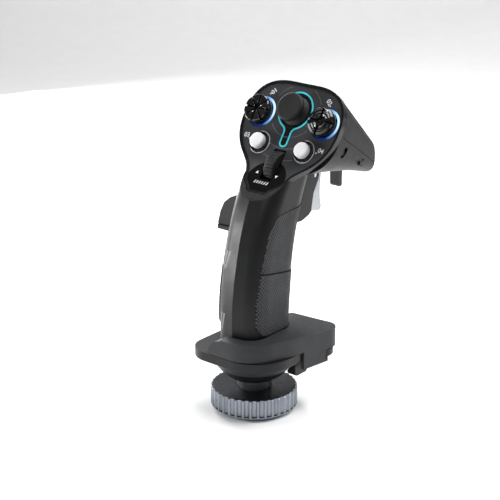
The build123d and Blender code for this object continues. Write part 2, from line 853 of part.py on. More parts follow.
def button_switches():
    high = button_low - button_travel - slide_gap
    boxes = []
    for sign in (-1, 1):
        x = sign * button_x
        box = block(face, (x - 3, x + 3), (button_u - 2.2, button_u + 3.8),
                    (board_h + board_thickness, high - 1.4))
        boxes.append(box + post(face, x, button_u, high - 2, high, 1.8))
    return Compound(children=boxes)


# ---------------------------------------------------------------- scroll wheel
def wheel_spot():
    return face.from_local_coords(Vector(0, wheel_u, wheel_h))


def scroll_wheel():
    spot = wheel_spot()
    wheel = level_pin(spot.Y, spot.Z, -wheel_half_width, wheel_half_width, wheel_radius)
    wheel = chamfer(wheel.edges().filter_by(GeomType.CIRCLE), 0.6)
    seat = wheel_radius + wheel_rib_radius - wheel_rib_depth
    ribs = Sketch() + PolarLocations(seat, wheel_ribs) * Circle(wheel_rib_radius)
    wheel -= extrude(side.offset(-5) * Pos(spot.Y, spot.Z) * ribs, amount=10)
    return wheel - level_pin(spot.Y, spot.Z, -10, 10, axle_radius + pin_fit)


def scroll_bracket():
    """Two ears beside the wheel and the floor that joins them, inside the handle's top."""
    near = wheel_half_width + bracket_gap
    far = near + bracket_thickness
    floor = wheel_h - wheel_radius - 2.6
    bracket = block(face, (-far, far), (wheel_u - 3, wheel_u + 6), (floor, floor + 1.6))
    for low, high in ((near, far), (-far, -near)):
        bracket += block(face, (low, high), (wheel_u - 2.6, wheel_u + 6), (floor, wheel_h + 2.4))
    spot = wheel_spot()
    return bracket - level_pin(spot.Y, spot.Z, -10, 10, axle_radius + 0.01)


def scroll_axle():
    spot = wheel_spot()
    return level_pin(spot.Y, spot.Z, -axle_half_length, axle_half_length, axle_radius)


def scroll_encoder():
    """Encoder on the outer end of the axle."""
    near = wheel_half_width + bracket_gap + bracket_thickness + 0.1
    spot = wheel_spot()
    box = block(face, (near, near + 3.2), (wheel_u - 2.6, wheel_u + 5), (wheel_h - 9, wheel_h + 2.2))
    return box - level_pin(spot.Y, spot.Z, 0, 20, axle_radius + 0.02)


# ---------------------------------------------------------------- trigger and lever
def trigger_housing():
    outline = [(22, 152), (53, 152), (50.2, 140.5), (45.2, 132.0), (43.0, 120.6), (41.0, 119.0),
               (34.0, 116.8), (22, 117.2)]
    housing = side_prism(outline, housing_half_width)
    housing -= handle_body(-part_gap)
    housing -= head_body(-part_gap)
    slot_back = [(40.2, 160), (40.2, 141), (35.8, 124), (34.6, 100), (80, 100), (80, 160)]
    housing -= side_prism(slot_back, trigger_half_width + slide_gap + 0.1)
    housing -= level_pin(trigger_pivot_y, trigger_pivot_z, -span, span, trigger_pin_radius + 0.01)
    return max(housing.solids(), key=lambda solid: solid.volume)


def trigger_blade():
    front = Spline((60.6, 144.4), (59.2, 136.0), (58.8, 127.5), (60.2, 119.6))
    tip = Spline((60.2, 119.6), (59.6, 117.4), (57.0, 116.6), tangents=[(0.1, -1), (-1, 0.1)])
    back = Polyline((57.0, 116.6), (50.6, 117.8), (47.6, 126.0), (46.4, 140.2), (49.6, 145.4), (60.6, 144.4))
    blade = extrude(side * make_face([front, tip, *back.edges()]), amount=trigger_half_width, both=True)
    hub = level_pin(trigger_pivot_y, trigger_pivot_z, -trigger_half_width, trigger_half_width,
                    trigger_hub_radius)
    bore = level_pin(trigger_pivot_y, trigger_pivot_z, -20, 20, trigger_pin_radius + pin_fit)
    pocket = level_pin(trigger_pivot_y, trigger_pivot_z, -spring_half_width - 0.3, spring_half_width + 0.3,
                       trigger_hub_radius + 1)
    return blade + hub - bore - pocket


def trigger_pin():
    reach = housing_half_width - 0.4
    return level_pin(trigger_pivot_y, trigger_pivot_z, -reach, reach, trigger_pin_radius)


def trigger_spring():
    """Turns of the return spring round the pin, in the trigger's pocket."""
    pitch = (2 * spring_half_width - 2 * spring_wire) / (spring_turns - 1)
    turns = []
    for turn in range(spring_turns):
        x = -spring_half_width + spring_wire + turn * pitch
        ring = tube(side, trigger_pivot_y, trigger_pivot_z, x - spring_wire, x + spring_wire,
                    trigger_pin_radius + 1.1, trigger_pin_radius + 0.4)
        turns.append(ring)
    return Compound(children=turns)


def trigger_switch():
    """Microswitch in the back of the slot, behind the blade."""
    return block(Plane.XY, (-3.2, 3.2), (41.2, 43.2), (133.5, 139.0))


def front_lever():
    """Lever that hangs from a pin in the nose; its blade stands forward of the pin."""
    rear, front = lever_y - lever_half_depth, lever_y + lever_half_depth
    points = [
        (lever_pivot_y - 2.0, lever_pivot_z),
        (rear, lever_pivot_z - 6.0),
        (rear + 0.4, lever_low_z + 1.2),
        (rear + 1.2, lever_low_z),
        (front - 0.6, lever_low_z),
        (front, lever_low_z + 1.0),
        (front, lever_pivot_z - 5.8),
        (lever_pivot_y + 2.0, lever_pivot_z - 2.8),
        (lever_pivot_y + 2.0, lever_pivot_z),
    ]
    lever = side_prism(points, lever_half_width)
    lever += level_pin(lever_pivot_y, lever_pivot_z, -lever_half_width, lever_half_width, lever_hub_radius)
    return lever - level_pin(lever_pivot_y, lever_pivot_z, -10, 10, lever_pin_radius + pin_fit)


def lever_pin():
    return level_pin(lever_pivot_y, lever_pivot_z, -7.5, 7.5, lever_pin_radius)


def lever_saddle():
    """Posts of the lower shell that hold the lever's pin."""
    posts = None
    for low, high in ((lever_half_width + 0.7, 7.5), (-7.5, -lever_half_width - 0.7)):
        ear = block(Plane.XY, (low, high), (lever_pivot_y - 2.4, lever_pivot_y + 2.2),
                    (138, lever_pivot_z + 2.2))
        ear &= head_body(head_wall - 0.6)
        posts = ear if posts is None else posts + ear
    return posts - level_pin(lever_pivot_y, lever_pivot_z, -20, 20, lever_pin_radius + 0.01)


def lever_switch():
    return block(Plane.XY, (-3, 3), (74.5, 77.6), (145.2, 150.2)) & head_body(head_wall + 0.2)


# ---------------------------------------------------------------- hand rest
def rest_outline():
    points = [
        (-24.0, rest_rear),
        (20.0, rest_rear),
        (30.8, 2.0),
        (rest_right, rest_front),
        (-1.0, rest_front - 6.7),
        (-1.0, -6.0),
        (-24.0, -6.0),
    ]
    return make_face(FilletPolyline(*points, radius=[6, 24, 60, 8, 3, 1, 1], close=True))


def handle_hole(grow):
    """Outline of the handle's foot, made larger by a distance."""
    height, rear, front, half_width = handle_sections[0]
    return handle_section(rear, front, half_width, -grow)


def rest_top():
    """Space above the hand rest: its surface rises towards the handle."""
    far = 90.0
    surface = Spline((16.0, rest_crown_z + 0.6), (33.0, rest_rim_z), (far, rest_rim_z - 0.9),
                     tangents=[(1, -0.12), (1, -0.01)])
    frame_lines = Polyline((far, rest_rim_z - 0.9), (far, span), (0, span), (0, rest_crown_z + 0.6),
                           (16.0, rest_crown_z + 0.6))
    return revolve(Plane.XZ * make_face([surface, *frame_lines.edges()]), axis=Axis.Z)


def hand_rest():
    outline = rest_outline()
    gap_z = flange_z + flange_thickness + 0.4
    rest = slab(outline, Plane.XY, rest_skirt_z, span / 2) - rest_top()
    rest -= block(Plane.XY, (-span, span), (-span, rest_skirt_y), (0, gap_z))
    rest -= block(Plane.XY, (-span, -0.5), (-span, span), (0, gap_z))
    rest -= slab(handle_hole(rest_handle_gap), Plane.XY, 0, span)
    rest -= block(Plane.XY, (-span, -0.5), (-14, span), (0, span))
    inner = offset(outline, -rest_wall)
    rest -= slab(inner, Plane.XY, 0, gap_z)
    rest -= post(Plane.XY, 0, 0, 0, gap_z, cup_top_radius + slide_gap)
    rest -= block(Plane.XY, (-span, guide_x[1] + 1), (-span, flange_front + 0.6), (0, gap_z))
    roof_space = inner - handle_hole(rest_handle_gap + rest_wall)
    rest -= slab(roof_space, Plane.XY, 0, rest_roof_z) & block(Plane.XY, (2, span), (-10, span), (0, span))
    end_x = rest_left + rest_end_radius
    corner = block(Plane.XY, (-span, end_x), (-span, span), (gap_z - 5, span))
    rounding = extrude(Plane.XZ.offset(-span) * Pos(end_x, gap_z) * Circle(rest_end_radius), amount=2 * span)
    rest -= corner - rounding
    x, y = wheel_seat
    boss = post(Plane.XY, x, y, clamp_wheel_z[1] + 0.6, rest_roof_z + 0.5, clamp_stem_radius + clamp_boss_wall)
    rest += boss
    rest -= post(Plane.XY, x, y, 0, clamp_stem_top + 0.5, clamp_stem_radius + pin_fit)
    rest -= post(Plane.XY, x, y, clamp_wheel_z[0] - 0.5, clamp_wheel_z[1] + 0.5, clamp_wheel_radius + 0.6)
    turn = Rot(0, 0, corner_relief_angle)
    relief = turn * Pos(corner_relief + 20, 0, clamp_wheel_z[1] / 2 + 0.4) * Box(40, 90, clamp_wheel_z[1] + 0.8)
    return rest - relief


def clamp_wheel():
    x, y = wheel_seat
    wheel = post(Plane.XY, x, y, *clamp_wheel_z, clamp_wheel_radius)
    wheel = chamfer(wheel.edges().filter_by(GeomType.CIRCLE), 0.8)
    return wheel + post(Plane.XY, x, y, clamp_wheel_z[0] - 1.5, clamp_stem_top, clamp_stem_radius)


def rest_guide():
    guide = block(Plane.XY, guide_x, guide_y, (guide_low_z, flange_z - part_gap))
    guide = fillet(guide.edges().filter_by(Axis.X).sort_by(Axis.Z)[:2], 2.0)
    return guide - cup_form(part_gap)


# ---------------------------------------------------------------- electronics
def control_board():
    board = block(face, (-31, 31), (-27.5, 6.0), (board_h, board_h + board_thickness))
    board &= head_body(head_wall + tab_thickness + part_gap)
    return board - block(face, (-12.0, -5.0), (-60, -21.8), (board_h - 1, board_h + 3))


def stick_module():
    low = board_h + board_thickness
    return block(face, (-8.5, 8.5), (-8.5, 8.5), (low, stick_pivot - 7.4))


def wiring_loom():
    """Bundle of wires from the socket up to the board."""
    path = FilletPolyline(*loom_points, radius=loom_bend)
    section = Plane(origin=path @ 0, z_dir=path % 0) * Circle(loom_radius)
    return sweep(section, path=path)


# ---------------------------------------------------------------- build
os.makedirs("parts", exist_ok=True)

save(locking_ring(), "locking_ring")
save(drill_neck(neck_stem()), "neck_stem")
save(stem_foot(), "stem_foot")
save(contacts(pin_contact_radius - 0.01), "connector_pins")
save(neck_cup(), "neck_cup")
save(base_flange(), "base_flange")
save(base_screws(), "base_screws")

left_shell, right_shell = handle_shells()
save(left_shell, "handle_left_shell")
save(right_shell, "handle_right_shell")
save(handle_screws(), "handle_screws")
for pad_name, pad_solid in grip_pads().items():
    save(pad_solid, pad_name)
save(thumb_rest(), "thumb_rest")
save(thumb_rest_screw(), "thumb_rest_screw")

upper_shell, lower_shell = head_shells()
save(upper_shell, "head_upper_shell")
save(lower_shell, "head_lower_shell")
save(head_screws(), "head_screws")
save(face_bezel(), "face_bezel")
plate = face_plate()
save(face_panel(plate), "face_panel")
save((plate & scroll_area()) - scroll_slot(), "scroll_bezel")
save(stick_surround(), "stick_surround")
save(face_light_guide(), "face_light_guide")

stick_floor = stick_pivot - 6.6
save(stick_cap(), "stick_cap")
save(gimbal_shaft(0, 0, stick_pivot, stick_cap_top - 1.6), "stick_shaft")
save(stick_dome(), "stick_dome")
save(gimbal_ring(0, 0, stick_pivot), "stick_gimbal_ring")
save(gimbal_frame(0, 0, stick_pivot, stick_floor, 1.4), "stick_carrier")
save(stick_module(), "stick_module")

for hand, sign, finned in (("left", -1, True), ("right", 1, False)):
    save(light_ring(sign), "light_ring_" + hand)
    save(hat_cap(sign, finned), "hat_" + hand + "_cap")
    save(gimbal_ring(sign * hat_x, hat_u, hat_pivot), "hat_" + hand + "_rocker")
    save(gimbal_frame(sign * hat_x, hat_u, hat_pivot, board_h + board_thickness, 8.0), "hat_" + hand + "_base")
    save(button_cap(sign), "button_" + hand + "_cap")
save(button_collars(), "button_collars")
save(button_switches(), "button_switches")

save(scroll_wheel(), "scroll_wheel")
save(scroll_axle(), "scroll_axle")
save(scroll_bracket(), "scroll_bracket")
save(scroll_encoder(), "scroll_encoder")

save(trigger_housing(), "trigger_housing")
save(trigger_blade(), "trigger")
save(trigger_pin(), "trigger_pin")
save(trigger_spring(), "trigger_spring")
save(trigger_switch(), "trigger_switch")
save(front_lever(), "front_lever")
save(lever_pin(), "lever_pin")
save(lever_switch(), "lever_switch")

save(control_board(), "control_board")
save(wiring_loom(), "wiring_loom")
save(hand_rest(), "hand_rest")
save(clamp_wheel(), "clamp_wheel")
save(rest_guide(), "rest_guide")
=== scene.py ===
import json
import math

import bmesh
import bpy
from mathutils import Matrix, Vector
from mathutils.bvhtree import BVHTree


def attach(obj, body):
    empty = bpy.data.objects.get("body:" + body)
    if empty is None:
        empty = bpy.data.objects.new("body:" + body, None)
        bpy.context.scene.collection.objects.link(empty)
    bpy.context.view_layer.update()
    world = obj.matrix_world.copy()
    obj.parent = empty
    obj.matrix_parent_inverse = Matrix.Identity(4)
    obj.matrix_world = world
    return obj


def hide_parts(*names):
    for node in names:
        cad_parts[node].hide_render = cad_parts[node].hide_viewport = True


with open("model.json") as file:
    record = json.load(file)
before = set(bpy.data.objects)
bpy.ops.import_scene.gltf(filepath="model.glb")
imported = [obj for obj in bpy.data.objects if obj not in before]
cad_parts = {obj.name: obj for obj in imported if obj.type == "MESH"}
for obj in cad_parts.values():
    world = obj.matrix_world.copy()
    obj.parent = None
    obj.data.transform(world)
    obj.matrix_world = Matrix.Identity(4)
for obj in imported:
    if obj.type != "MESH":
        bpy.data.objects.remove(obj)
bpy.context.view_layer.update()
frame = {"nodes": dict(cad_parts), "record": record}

# Everything is in metres, in the row's frame: +Z up, the pilot towards -Y, +X to the pilot's right.
MM = 0.001

# The face of the head: a tilted plane, whose lower lobe bends up towards the pilot.
FACE_TILT = math.radians(34.0)
FACE_ORIGIN = Vector((0.0, 39.85, 184.75)) * MM
LOBE_BEND = math.radians(18.0)
LOBE_RADIUS = 16.0
LOBE_U = -35.0
PANEL_H = -0.2
PRINT_LIFT = 0.03

HAT_X = 24.9
HAT_U = -4.8
HAT_RADIUS = 9.1
HAT_LOW = 2.2
HAT_TOP = 7.0
STICK_RADIUS = 9.3
STICK_LOW = 4.7
STICK_TOP = 8.2
STICK_EDGE = 1.5               # radius of the cap's rounded edge
BUTTON_X = 17.4
BUTTON_U = -24.35
WHEEL_U = -37.0
WHEEL_H = -4.8
WHEEL_RADIUS = 10.8
WHEEL_HALF_WIDTH = 3.8
WHEEL_BORE = 5.0
WHEEL_RIBS = 34
WHEEL_RIB_DEPTH = 0.42

RING_PRINT_RADIUS = 7.2        # printed ring round each button
RING_PRINT_WIDTH = 0.42
ARC_WIDTH = 0.28
NUMERAL_SIZE = 4.2
NUMERAL_BOLD = 0.02            # outline growth as a share of the size
INSERT_MARK_U = -44.0          # triangles beside the scroll wheel
FLANK_LIFT = 0.04
FLANK_START_Y = -80.0
BAR_ROWS = 8
BAR_HEIGHT = 11.5
BAR_WIDTH = 1.5
BAR_LEAN = 2.6

# Camera: degrees, metres, millimetres of lens on a sensor 36 mm wide.
CAMERA_AZIMUTH = 39.89
CAMERA_ELEVATION = 19.99
CAMERA_TARGET = Vector((-20.08, 20.0, 94.0)) * MM
CAMERA_DISTANCE = 1.0
CAMERA_LENS = 113.2
SENSOR_WIDTH = 36.0

# Paper sweep and light, in metres and watts.
STAGE_SIZE = 1.6
STAGE_BACK = 0.9               # where the floor starts to curve up
STAGE_CURVE = 0.5
STAGE_STEPS = 10
STAGE_LEVEL = -0.0005          # the paper lies just under the object
WORLD_LIGHT = 0.13

across = Vector((1, 0, 0))
along = Vector((0, math.sin(FACE_TILT), math.cos(FACE_TILT)))
outward = Vector((0, -math.cos(FACE_TILT), math.sin(FACE_TILT)))


def on_face(x, u, h):
    """Point of the face's own frame (millimetres) in the row frame (metres)."""
    return FACE_ORIGIN + (across * x + along * u + outward * h) * MM


def face_height(u, h):
    """Height of the bent surface over the face plane, h above its base surface."""
    centre = LOBE_U + LOBE_RADIUS * math.tan(LOBE_BEND / 2)
    radius = LOBE_RADIUS - h
    low = centre - radius * math.sin(LOBE_BEND)
    if u >= centre:
        return h
    if u > low:
        return LOBE_RADIUS - math.sqrt(radius ** 2 - (u - centre) ** 2)
    bottom = LOBE_RADIUS - radius * math.cos(LOBE_BEND)
    return bottom + (low - u) * math.tan(LOBE_BEND)


# ---------------------------------------------------------------- materials
def new_material(name, colour, rough, metal=0.0):
    """Principled material, its nodes and its links."""
    mat = bpy.data.materials.new(name)
    mat.use_nodes = True
    shader = mat.node_tree.nodes["Principled BSDF"]
    shader.inputs["Base Color"].default_value = (*colour, 1)
    shader.inputs["Roughness"].default_value = rough
    shader.inputs["Metallic"].default_value = metal
    shader.inputs["Specular IOR Level"].default_value = 0.27
    return mat, shader


def add(mat, kind, **values):
    node = mat.node_tree.nodes.new(kind)
    for key, value in values.items():
        setattr(node, key, value)
    return node


def link(mat, source, target):
    mat.node_tree.links.new(source, target)


def coordinates(mat):
    return add(mat, "ShaderNodeTexCoord").outputs["Object"]


def noise(mat, scale, detail=3.0, rough=0.55):
    node = add(mat, "ShaderNodeTexNoise")
    node.inputs["Scale"].default_value = scale
    node.inputs["Detail"].default_value = detail
    node.inputs["Roughness"].default_value = rough
    link(mat, coordinates(mat), node.inputs["Vector"])
    return node.outputs["Fac"]


def spread(mat, source, low, high, start=0.3, end=0.7):
    """Noise value mapped to a range."""
    node = add(mat, "ShaderNodeMapRange")
    for key, value in (("From Min", start), ("From Max", end), ("To Min", low), ("To Max", high)):
        node.inputs[key].default_value = value
    link(mat, source, node.inputs["Value"])
    return node.outputs["Result"]


def two_tone(mat, source, dark, light, start=0.35, end=0.65):
    """Colour that runs between two tones by a value."""
    node = add(mat, "ShaderNodeValToRGB")
    ramp = node.color_ramp
    ramp.elements[0].position = start
    ramp.elements[1].position = end
    ramp.elements[0].color = (*dark, 1)
    ramp.elements[1].color = (*light, 1)
    link(mat, source, node.inputs["Fac"])
    return node.outputs["Color"]


def bump(mat, shader, source, height, strength=1.0):
    """Relief from a value; height is in metres."""
    node = add(mat, "ShaderNodeBump")
    node.inputs["Strength"].default_value = strength
    node.inputs["Distance"].default_value = height
    link(mat, source, node.inputs["Height"])
    link(mat, node.outputs["Normal"], shader.inputs["Normal"])
    return node


def shaded(colour, factor):
    return tuple(min(1.0, part * factor) for part in colour)


def moulded(name, colour, rough, grain=2600.0, relief=0.00002, variation=0.14, rough_spread=0.06,
            metal=0.0):
    """Moulded plastic or coated metal: fine grain, uneven gloss, slight change of tone, and sharp edges
    painted lighter, partly as wear and partly as painted highlight.
    """
    mat, shader = new_material(name, colour, rough, metal)
    clouds = noise(mat, 55.0, 5.0)
    tone = two_tone(mat, clouds, shaded(colour, 1 - variation), shaded(colour, 1 + variation))
    # Sharp edges are painted lighter: part edge wear, part painted highlight.
    edge = add(mat, "ShaderNodeNewGeometry").outputs["Pointiness"]
    wear_and_edge_highlight = spread(mat, edge, 0.0, 0.35, 0.53, 0.62)
    mix = add(mat, "ShaderNodeMix", data_type="RGBA")
    link(mat, wear_and_edge_highlight, mix.inputs["Factor"])
    link(mat, tone, mix.inputs["A"])
    mix.inputs["B"].default_value = (*shaded(colour, 1.9), 1)
    link(mat, mix.outputs["Result"], shader.inputs["Base Color"])
    smudges = noise(mat, 140.0, 6.0, 0.65)
    link(mat, spread(mat, smudges, rough - rough_spread, rough + rough_spread), shader.inputs["Roughness"])
    bump(mat, shader, noise(mat, grain, 2.0), relief, 0.6)
    return mat


def glossy(name, colour, rough=0.12, coat=0.6):
    """Gloss plastic with faint polishing haze."""
    mat = moulded(name, colour, rough, grain=900.0, relief=0.000004, variation=0.2, rough_spread=0.05)
    shader = mat.node_tree.nodes["Principled BSDF"]
    shader.inputs["Coat Weight"].default_value = coat
    shader.inputs["Coat Roughness"].default_value = 0.05
    return mat


def rubber_pad(name, colour):
    """Rubber with a fine diamond relief that runs over the flank of the grip, its raised cells painted
    lighter as painted highlight and its grooves darker as painted shade.
    """
    mat, shader = new_material(name, colour, 0.62)
    split = add(mat, "ShaderNodeSeparateXYZ")
    link(mat, coordinates(mat), split.inputs["Vector"])
    waves = []
    for slope in (-1.0, 1.0):
        lean = add(mat, "ShaderNodeMath", operation="MULTIPLY_ADD")
        link(mat, split.outputs["Z"], lean.inputs[0])
        lean.inputs[1].default_value = slope * 0.62
        link(mat, split.outputs["Y"], lean.inputs[2])
        beat = add(mat, "ShaderNodeMath", operation="MULTIPLY")
        link(mat, lean.outputs[0], beat.inputs[0])
        beat.inputs[1].default_value = 2 * math.pi / (1.7 * MM)
        wave = add(mat, "ShaderNodeMath", operation="SINE")
        link(mat, beat.outputs[0], wave.inputs[0])
        waves.append(wave.outputs[0])
    relief = add(mat, "ShaderNodeMath", operation="MAXIMUM")
    link(mat, waves[0], relief.inputs[0])
    link(mat, waves[1], relief.inputs[1])
    # Colour follows the relief: painted highlight on the raised cells, painted shade in the grooves.
    tone = two_tone(mat, relief.outputs[0], shaded(colour, 0.45), shaded(colour, 2.3), 0.15, 1.0)
    link(mat, tone, shader.inputs["Base Color"])
    link(mat, spread(mat, noise(mat, 120.0, 5.0), 0.5, 0.68), shader.inputs["Roughness"])
    first = bump(mat, shader, relief.outputs[0], 0.0003, 1.0)
    grain = add(mat, "ShaderNodeBump")
    grain.inputs["Distance"].default_value = 0.00002
    grain.inputs["Strength"].default_value = 0.5
    link(mat, noise(mat, 4000.0, 2.0), grain.inputs["Height"])
    link(mat, grain.outputs["Normal"], first.inputs["Normal"])
    return mat


def speckled_face(name, colour):
    """Matte face panel with a fine light speckle."""
    mat = moulded(name, colour, 0.5, grain=5200.0, relief=0.00003, variation=0.1)
    nodes = mat.node_tree.nodes
    shader = nodes["Principled BSDF"]
    before = shader.inputs["Base Color"].links[0].from_socket
    dots = spread(mat, noise(mat, 3800.0, 1.0, 0.4), 0.0, 0.55, 0.6, 0.74)
    mix = add(mat, "ShaderNodeMix", data_type="RGBA")
    link(mat, dots, mix.inputs["Factor"])
    link(mat, before, mix.inputs["A"])
    mix.inputs["B"].default_value = (*shaded(colour, 2.6), 1)
    link(mat, mix.outputs["Result"], shader.inputs["Base Color"])
    return mat


def lit_line(name, colour, strength):
    """Translucent light guide, brighter in patches."""
    mat, shader = new_material(name, colour, 0.25)
    flow = noise(mat, 90.0, 3.0)
    tone = two_tone(mat, flow, shaded(colour, 0.75), colour, 0.3, 0.6)
    link(mat, tone, shader.inputs["Base Color"])
    link(mat, tone, shader.inputs["Emission Color"])
    shader.inputs["Emission Strength"].default_value = strength
    link(mat, spread(mat, noise(mat, 700.0), 0.2, 0.34), shader.inputs["Roughness"])
    return mat


def crescent_light(name, centre_x):
    """Light ring round a hat: pale blue on the side away from the left hand, deep blue below."""
    mat, shader = new_material(name, (0.3, 0.55, 0.95), 0.2)
    centre = on_face(centre_x, HAT_U, 0)
    shift = add(mat, "ShaderNodeVectorMath", operation="SUBTRACT")
    link(mat, coordinates(mat), shift.inputs[0])
    shift.inputs[1].default_value = centre
    bearing = add(mat, "ShaderNodeVectorMath", operation="DOT_PRODUCT")
    link(mat, shift.outputs["Vector"], bearing.inputs[0])
    bearing.inputs[1].default_value = (across * 0.93 + along * 0.37) / (10 * MM)
    ramp = add(mat, "ShaderNodeValToRGB")
    stops = ramp.color_ramp.elements
    stops[0].position = 0.1
    stops[0].color = (0.003, 0.005, 0.03, 1)
    stops[1].position = 0.97
    stops[1].color = (0.55, 0.80, 1.0, 1)
    middle = stops.new(0.55)
    middle.color = (0.008, 0.028, 0.17, 1)
    upper = stops.new(0.76)
    upper.color = (0.13, 0.34, 0.78, 1)
    link(mat, spread(mat, bearing.outputs["Value"], 0.0, 1.0, -1.0, 1.0), ramp.inputs["Fac"])
    link(mat, ramp.outputs["Color"], shader.inputs["Base Color"])
    link(mat, ramp.outputs["Color"], shader.inputs["Emission Color"])
    shader.inputs["Emission Strength"].default_value = 0.6
    link(mat, spread(mat, noise(mat, 500.0), 0.12, 0.28), shader.inputs["Roughness"])
    return mat


def ring_metal(name):
    """Grey-blue coated metal, mottled, with edges painted lighter as wear and painted highlight, and
    painted dark reflection on the faces that look up.
    """
    colour = (0.25, 0.27, 0.31)
    mat = moulded(name, colour, 0.34, grain=1500.0, relief=0.00004, variation=0.22, rough_spread=0.09,
                  metal=0.75)
    shader = mat.node_tree.nodes["Principled BSDF"]
    before = shader.inputs["Base Color"].links[0].from_socket
    # Faces that look up are painted near-black as painted dark reflection.
    split = add(mat, "ShaderNodeSeparateXYZ")
    link(mat, add(mat, "ShaderNodeTexCoord").outputs["Normal"], split.inputs["Vector"])
    mix = add(mat, "ShaderNodeMix", data_type="RGBA")
    link(mat, spread(mat, split.outputs["Z"], 0.0, 1.0, 0.75, 0.95), mix.inputs["Factor"])
    link(mat, before, mix.inputs["A"])
    mix.inputs["B"].default_value = (0.028, 0.031, 0.038, 1)
    link(mat, mix.outputs["Result"], shader.inputs["Base Color"])
    return mat


def printed(name, colour):
    """Printing ink: nearly matte, with a slightly broken edge of tone."""
    mat, shader = new_material(name, colour, 0.5)
    link(mat, two_tone(mat, noise(mat, 2500.0, 2.0), shaded(colour, 0.8), colour, 0.3, 0.5),
         shader.inputs["Base Color"])
    link(mat, spread(mat, noise(mat, 800.0), 0.42, 0.58), shader.inputs["Roughness"])
    return mat


MATERIALS = {
    "ring_metal": ring_metal("ring metal"),
    "neck_metal": moulded("neck metal", (0.10, 0.105, 0.115), 0.38, relief=0.00002, metal=0.6),
    "cup_black": moulded("cup plastic", (0.008, 0.0084, 0.0095), 0.36),
    "flange_black": moulded("flange plastic", (0.010, 0.0104, 0.0115), 0.40),
    "rest_black": moulded("rest plastic", (0.022, 0.023, 0.025), 0.46, relief=0.00003),
    "handle_black": moulded("handle plastic", (0.007, 0.0073, 0.008), 0.42, relief=0.000018),
    "pad_rubber": rubber_pad("pad rubber", (0.030, 0.0305, 0.033)),
    "head_black": moulded("head plastic", (0.008, 0.0082, 0.009), 0.44, relief=0.00003),
    "face_black": speckled_face("face panel", (0.026, 0.0268, 0.029)),
    "bezel_black": glossy("bezel", (0.006, 0.0062, 0.007), 0.26, 0.3),
    "gloss_black": glossy("gloss insert", (0.002, 0.002, 0.0024), 0.10, 0.35),
    "hat_black": glossy("hat plastic", (0.006, 0.006, 0.007), 0.10, 0.8),
    "stick_black": moulded("stick plastic", (0.012, 0.012, 0.0126), 0.58, relief=0.00003),
    "button_white": moulded("button satin", (0.74, 0.74, 0.75), 0.34, relief=0.000008, variation=0.05),
    "collar_black": glossy("collar plastic", (0.006, 0.006, 0.007), 0.20, 0.3),
    "wheel_black": moulded("wheel rubber", (0.012, 0.012, 0.0132), 0.46),
    "guide_cyan": lit_line("cyan guide", (0.05, 0.46, 0.52), 0.42),
    "trigger_grey": moulded("trigger paint", (0.40, 0.41, 0.43), 0.32, relief=0.000008, variation=0.05,
                            metal=0.25),
    "steel": moulded("steel", (0.45, 0.45, 0.46), 0.28, relief=0.00001, metal=1.0),
    "dark_screw": moulded("screw", (0.02, 0.02, 0.022), 0.36, metal=0.5),
    "gimbal_grey": moulded("inner plastic", (0.10, 0.105, 0.11), 0.5),
    "contact_gold": moulded("contact", (0.75, 0.52, 0.2), 0.25, metal=1.0),
    "board_green": moulded("board", (0.01, 0.09, 0.04), 0.35),
    "wire_black": moulded("wire sleeve", (0.012, 0.012, 0.012), 0.6),
}
MATERIALS["guide_blue"] = crescent_light("blue ring right", HAT_X)
left_crescent = crescent_light("blue ring left", -HAT_X)
ink_white = printed("white ink", (0.78, 0.78, 0.80))
ink_grey = printed("grey ink", (0.16, 0.16, 0.165))
ink_flank = printed("flank ink", (0.20, 0.20, 0.21))
ink_dim = printed("dim flank ink", (0.020, 0.020, 0.022))

slots = {entry["node"]: entry["material_slot"] for entry in frame["record"]["subparts"]}


def dress(obj, material):
    """Give every material slot of an object one material."""
    if not obj.material_slots:
        obj.data.materials.append(material)
    for place in obj.material_slots:
        place.material = material


def soften(obj, width, angle=35.0, segments=2):
    """Small round on the sharp edges."""
    bevel = obj.modifiers.new("edge", "BEVEL")
    bevel.width = width * MM
    bevel.segments = segments
    bevel.limit_method = "ANGLE"
    bevel.angle_limit = math.radians(angle)
    bevel.harden_normals = False
    return bevel


for node_name, node_object in frame["nodes"].items():
    dress(node_object, MATERIALS[slots[node_name]])
dress(frame["nodes"]["light_ring_left"], left_crescent)


# ---------------------------------------------------------------- mesh helpers
def mesh_object(name, verts, faces, material, body, smooth=True):
    mesh = bpy.data.meshes.new(name)
    mesh.from_pydata([tuple(v) for v in verts], [], faces)
    mesh.validate()
    mesh.update()
    for polygon in mesh.polygons:
        polygon.use_smooth = smooth
    obj = bpy.data.objects.new(name, mesh)
    bpy.context.scene.collection.objects.link(obj)
    obj.data.materials.append(material)
    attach(obj, body)
    return obj


def ribbon(name, points, width, material, closed=False):
    """Thin printed line on the face along points given as (across, along)."""
    verts = []
    count = len(points)
    for index, (x, u) in enumerate(points):
        before = points[(index - 1) % count] if closed or index else points[0]
        after = points[(index + 1) % count] if closed or index < count - 1 else points[-1]
        dx, du = after[0] - before[0], after[1] - before[1]
        size = math.hypot(dx, du) or 1.0
        nx, nu = -du / size * width / 2, dx / size * width / 2
        for sign in (1, -1):
            px, pu = x + sign * nx, u + sign * nu
            verts.append(on_face(px, pu, face_height(pu, PANEL_H + PRINT_LIFT)))
    faces = []
    for index in range(count if closed else count - 1):
        a, b = 2 * index, 2 * ((index + 1) % count)
        faces.append((a, a + 1, b + 1, b))
    return mesh_object(name, verts, faces, material, "grip")


def arc_points(x, u, radius, start, end, step=3.0):
    """Points of an arc on the face, angles in degrees from the across direction."""
    count = max(2, int(abs(end - start) / step))
    angles = [math.radians(start + (end - start) * i / count) for i in range(count + 1)]
    return [(x + radius * math.cos(a), u + radius * math.sin(a)) for a in angles]


def polygon_print(name, outlines, material):
    """Filled printed shapes on the face, each a short closed outline."""
    verts, faces = [], []
    for outline in outlines:
        start = len(verts)
        for x, u in outline:
            verts.append(on_face(x, u, face_height(u, PANEL_H + PRINT_LIFT)))
        faces.append(tuple(range(start, len(verts))))
    return mesh_object(name, verts, faces, material, "grip")


